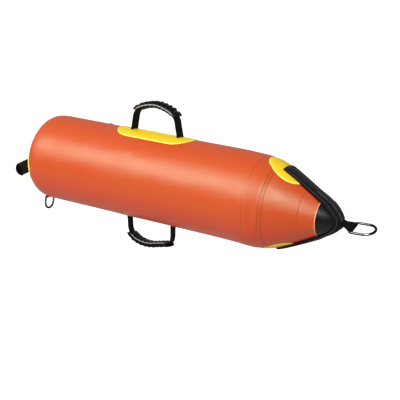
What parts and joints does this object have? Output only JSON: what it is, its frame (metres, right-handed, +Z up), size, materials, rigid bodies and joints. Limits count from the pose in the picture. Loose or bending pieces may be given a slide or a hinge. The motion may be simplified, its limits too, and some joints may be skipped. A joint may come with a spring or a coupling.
{
  "type": "spearfishing float",
  "caption": "Inflatable torpedo-shaped float with a welded nose cone, carry handles along and across the hull, a tow ring at the nose and a keel ring under the tail.",
  "frame": {"origin": "middle of the whole float's box, on the hull's axis line", "axes": "+X ahead along the hull to the nose, +Z up through the upper handle, +Y across, away from the side that the picture shows"},
  "size_m": [0.8861, 0.1892, 0.322],
  "materials": {
    "orange_pvc": "satin coated fabric",
    "yellow_pvc": "satin coated fabric",
    "black_rubber": "semi-gloss moulded",
    "grip_rubber": "matt moulded",
    "black_webbing": "woven",
    "ring_steel": "polished",
    "valve_plastic": "moulded",
    "seal_rubber": "moulded"
  },
  "bodies": {
    "hull": {"hull_tube": "orange_pvc", "tail_cap": "orange_pvc", "nose_cone": "orange_pvc", "nose_bumper": "black_rubber", "nose_strap": "black_webbing", "nose_patch_top": "yellow_pvc", "nose_patch_bottom": "yellow_pvc", "top_handle_patch": "yellow_pvc", "bottom_handle_patch": "yellow_pvc", "tail_handle_patch": "yellow_pvc", "keel_patch": "orange_pvc", "keel_tab": "orange_pvc", "valve_base": "valve_plastic", "valve_insert": "valve_plastic", "valve_seal": "seal_rubber", "cap_tether": "valve_plastic"},
    "top_handle": {"top_handle_webbing": "black_webbing", "top_handle_grip": "grip_rubber"},
    "bottom_handle": {"bottom_handle_webbing": "black_webbing", "bottom_handle_grip": "grip_rubber"},
    "tail_handle": {"tail_handle_webbing": "black_webbing", "tail_handle_grip": "grip_rubber"},
    "tow_loop": {"tow_loop": "black_webbing"},
    "tow_ring": {"tow_ring": "ring_steel"},
    "keel_ring": {"keel_ring": "ring_steel"},
    "valve_cap": {"valve_cap": "valve_plastic"},
    "valve_diaphragm": {"valve_diaphragm": "seal_rubber"}
  },
  "joints": [
    {"name": "top_handle_fold", "type": "hinge", "parent": "hull", "child": "top_handle", "pos_m": [-0.0699, 0, 0.10835], "axis": [1, 0, 0], "range_deg": [-86, 86], "stiffness_Nm_per_rad": 0.3},
    {"name": "bottom_handle_fold", "type": "hinge", "parent": "hull", "child": "bottom_handle", "pos_m": [-0.0699, 0, -0.10835], "axis": [1, 0, 0], "range_deg": [-82, 82], "stiffness_Nm_per_rad": 0.3},
    {"name": "tail_handle_fold", "type": "hinge", "parent": "hull", "child": "tail_handle", "pos_m": [-0.37096, 0, -0.014], "axis": [0, -0.9848, -0.1736], "range_deg": [-100, 46], "stiffness_Nm_per_rad": 0.3},
    {"name": "tow_loop_bend", "type": "hinge", "parent": "hull", "child": "tow_loop", "pos_m": [0.3789, 0, -0.01156], "axis": [0, 0.9511, 0.309], "range_deg": [-45, 45], "stiffness_Nm_per_rad": 0.2},
    {"name": "tow_ring_swing", "type": "hinge", "parent": "tow_loop", "child": "tow_ring", "pos_m": [0.39629, 0.00144, -0.01599], "axis": [0, 0.9511, 0.309], "range_deg": [-100, 100]},
    {"name": "keel_ring_swing", "type": "hinge", "parent": "hull", "child": "keel_ring", "pos_m": [-0.35322, 0, -0.09681], "axis": [0, 1, 0], "range_deg": [-80, 140]},
    {"name": "valve_cap_turn", "type": "hinge", "parent": "hull", "child": "valve_cap", "pos_m": [-0.2407, 0.06718, 0.06718], "axis": [0, 0.7071, 0.7071], "range_deg": [0, 90]},
    {"name": "valve_diaphragm_lift", "type": "slide", "parent": "hull", "child": "valve_diaphragm", "axis": [0, 0.7071, 0.7071], "range_m": [-0.002, 0], "stiffness_N_per_m": 60}
  ]
}
